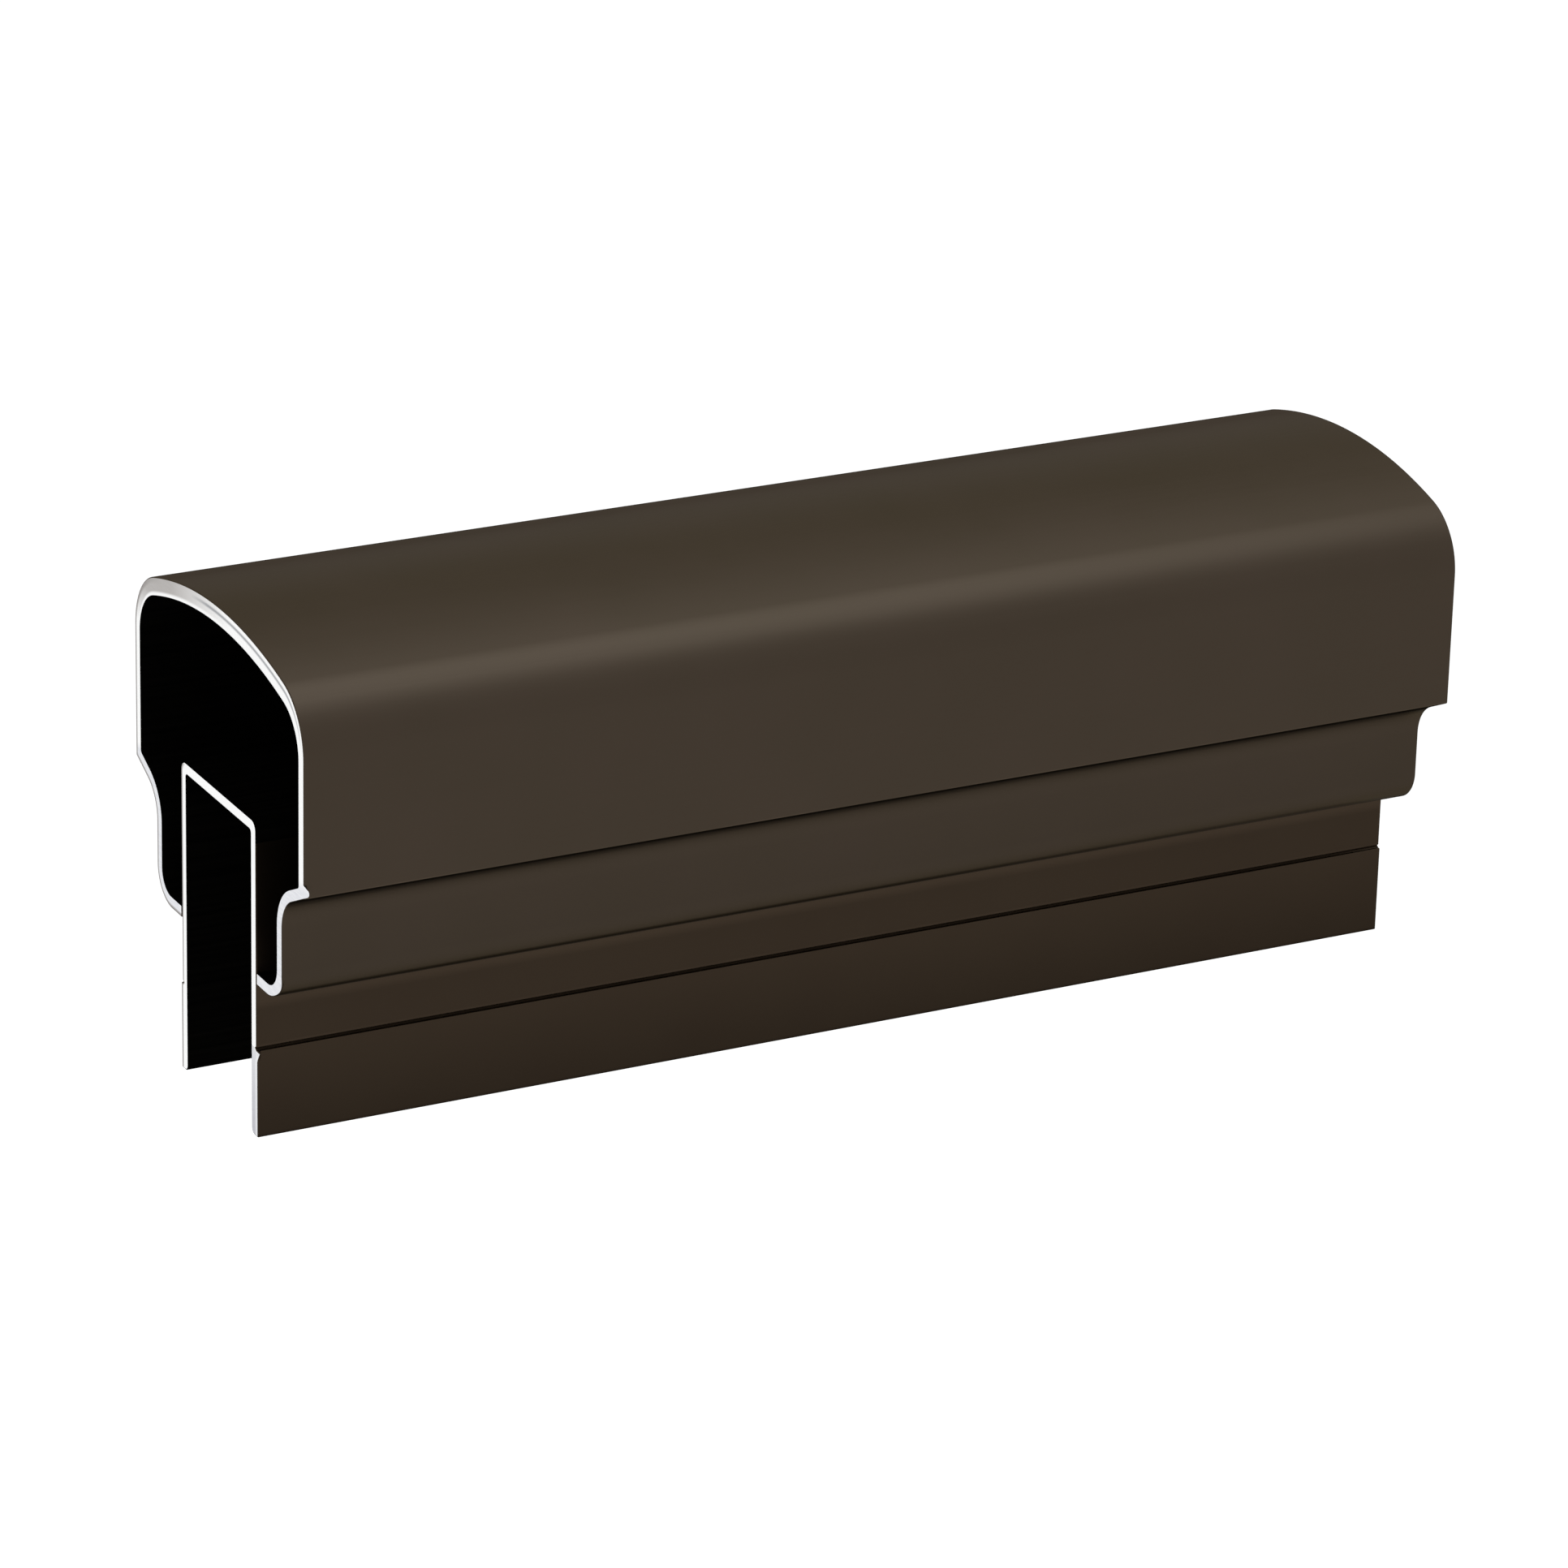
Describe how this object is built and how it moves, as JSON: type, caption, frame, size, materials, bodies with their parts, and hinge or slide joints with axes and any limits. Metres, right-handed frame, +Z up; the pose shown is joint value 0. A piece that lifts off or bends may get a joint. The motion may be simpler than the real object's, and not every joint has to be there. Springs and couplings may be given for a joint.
{
  "type": "door edge rail",
  "caption": "Dark bronze anodised aluminium rail for the edge of a door or gate panel: a hollow round-topped cover whose lips ride up and down on a U-shaped channel.",
  "frame": {"origin": "midway between the ends and between the legs, on the plane of the channel's feet", "axes": "+X along the rail, +Y across it, +Z up from the channel's feet to the crown of the cover; the slot for the panel opens towards -Z"},
  "size_m": [0.158, 0.0508, 0.0645],
  "materials": {
    "bronze_anodised": "satin dark bronze anodised extrusion, with bright saw-cut ends"
  },
  "bodies": {
    "channel": {"panel_channel": "bronze_anodised"},
    "cover": {"cover_shell": "bronze_anodised"}
  },
  "joints": [
    {"name": "cover_height", "type": "slide", "parent": "channel", "child": "cover", "axis": [0, 0, 1], "range_m": [-0.0085, 0.0175]}
  ]
}
